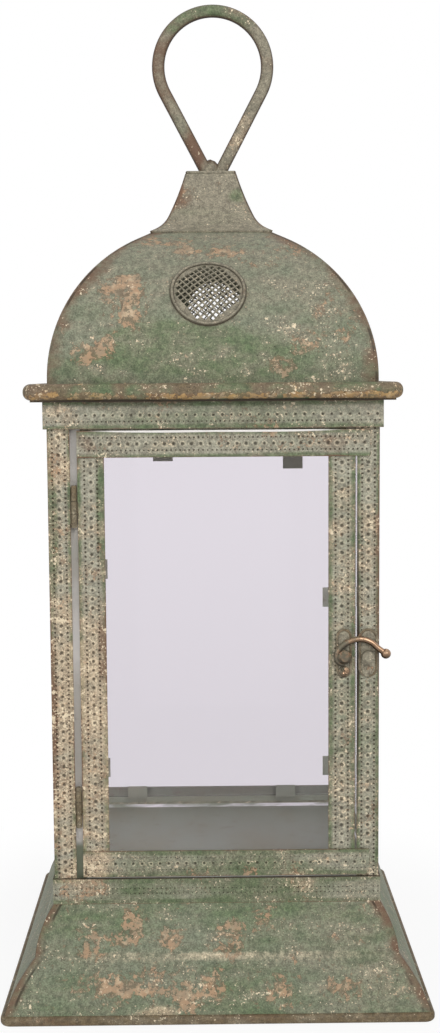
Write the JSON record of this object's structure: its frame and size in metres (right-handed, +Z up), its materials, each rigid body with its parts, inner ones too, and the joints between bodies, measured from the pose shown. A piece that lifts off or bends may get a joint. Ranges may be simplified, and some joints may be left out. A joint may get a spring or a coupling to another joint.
{
  "type": "punched tin lantern",
  "caption": "Square tin lantern on a flared base, with glass panes in punched strips, a hinged front door with a hook latch, an ogee roof with perforated round vents and a rod loop handle.",
  "frame": {"origin": "middle of the underside of the rolled hem that the lantern stands on", "axes": "+Z up along the lantern's axis; the door faces -Y, its hinges at -X and its latch at +X"},
  "size_m": [0.2, 0.2, 0.4783],
  "materials": {
    "green_tin": "worn chipped grey-green paint, satin",
    "punched_tin": "worn grey-green paint over punched strip, satin",
    "inner_tin": "dull grey paint",
    "brown_hem": "rubbed brown paint",
    "dark_steel": "blackened, brown with rust",
    "bronze": "dark antique bronze",
    "glass": "clear, polished"
  },
  "bodies": {
    "lantern": {"base_hem": "brown_hem", "base_panel_back": "green_tin", "base_panel_front": "green_tin", "base_panel_left": "green_tin", "base_panel_right": "green_tin", "floor_plate": "inner_tin", "gap_strip": "inner_tin", "glass_back": "glass", "glass_left": "glass", "glass_right": "glass", "glass_tabs_back": "inner_tin", "glass_tabs_left": "inner_tin", "glass_tabs_right": "inner_tin", "handle_loop": "green_tin", "hinge_lower_pin": "dark_steel", "hinge_lower_post_leaf": "dark_steel", "hinge_upper_pin": "dark_steel", "hinge_upper_post_leaf": "dark_steel", "keeper_plate": "bronze", "keeper_stud": "bronze", "lower_band": "punched_tin", "neck_cap": "green_tin", "post_back_left": "punched_tin", "post_back_right": "punched_tin", "post_front_left": "punched_tin", "post_front_right": "punched_tin", "rail_bottom_back": "punched_tin", "rail_bottom_left": "punched_tin", "rail_bottom_right": "punched_tin", "rail_top_back": "punched_tin", "rail_top_left": "punched_tin", "rail_top_right": "punched_tin", "roof_neck": "green_tin", "roof_panel_back": "green_tin", "roof_panel_front": "green_tin", "roof_panel_left": "green_tin", "roof_panel_right": "green_tin", "roof_rim": "green_tin", "top_band": "punched_tin", "vent_screen_back": "green_tin", "vent_screen_front": "green_tin", "vent_screen_left": "green_tin", "vent_screen_right": "green_tin"},
    "door": {"door_glass": "glass", "door_glass_tabs": "inner_tin", "door_rail_bottom": "punched_tin", "door_rail_top": "punched_tin", "door_stile_hinge": "punched_tin", "door_stile_latch": "punched_tin", "hinge_lower_door_leaf": "dark_steel", "hinge_upper_door_leaf": "dark_steel", "latch_pivot": "bronze", "latch_plate": "bronze"},
    "latch_hook": {"latch_hook": "bronze"}
  },
  "joints": [
    {"name": "door_swing", "type": "hinge", "parent": "lantern", "child": "door", "pos_m": [-0.06405, -0.0762, 0.16695], "axis": [0, 0, -1], "range_deg": [0, 110]},
    {"name": "hook_lift", "type": "hinge", "parent": "door", "child": "latch_hook", "pos_m": [0.0596, -0.0788, 0.1664], "axis": [0, -1, 0], "range_deg": [0, 110]}
  ]
}
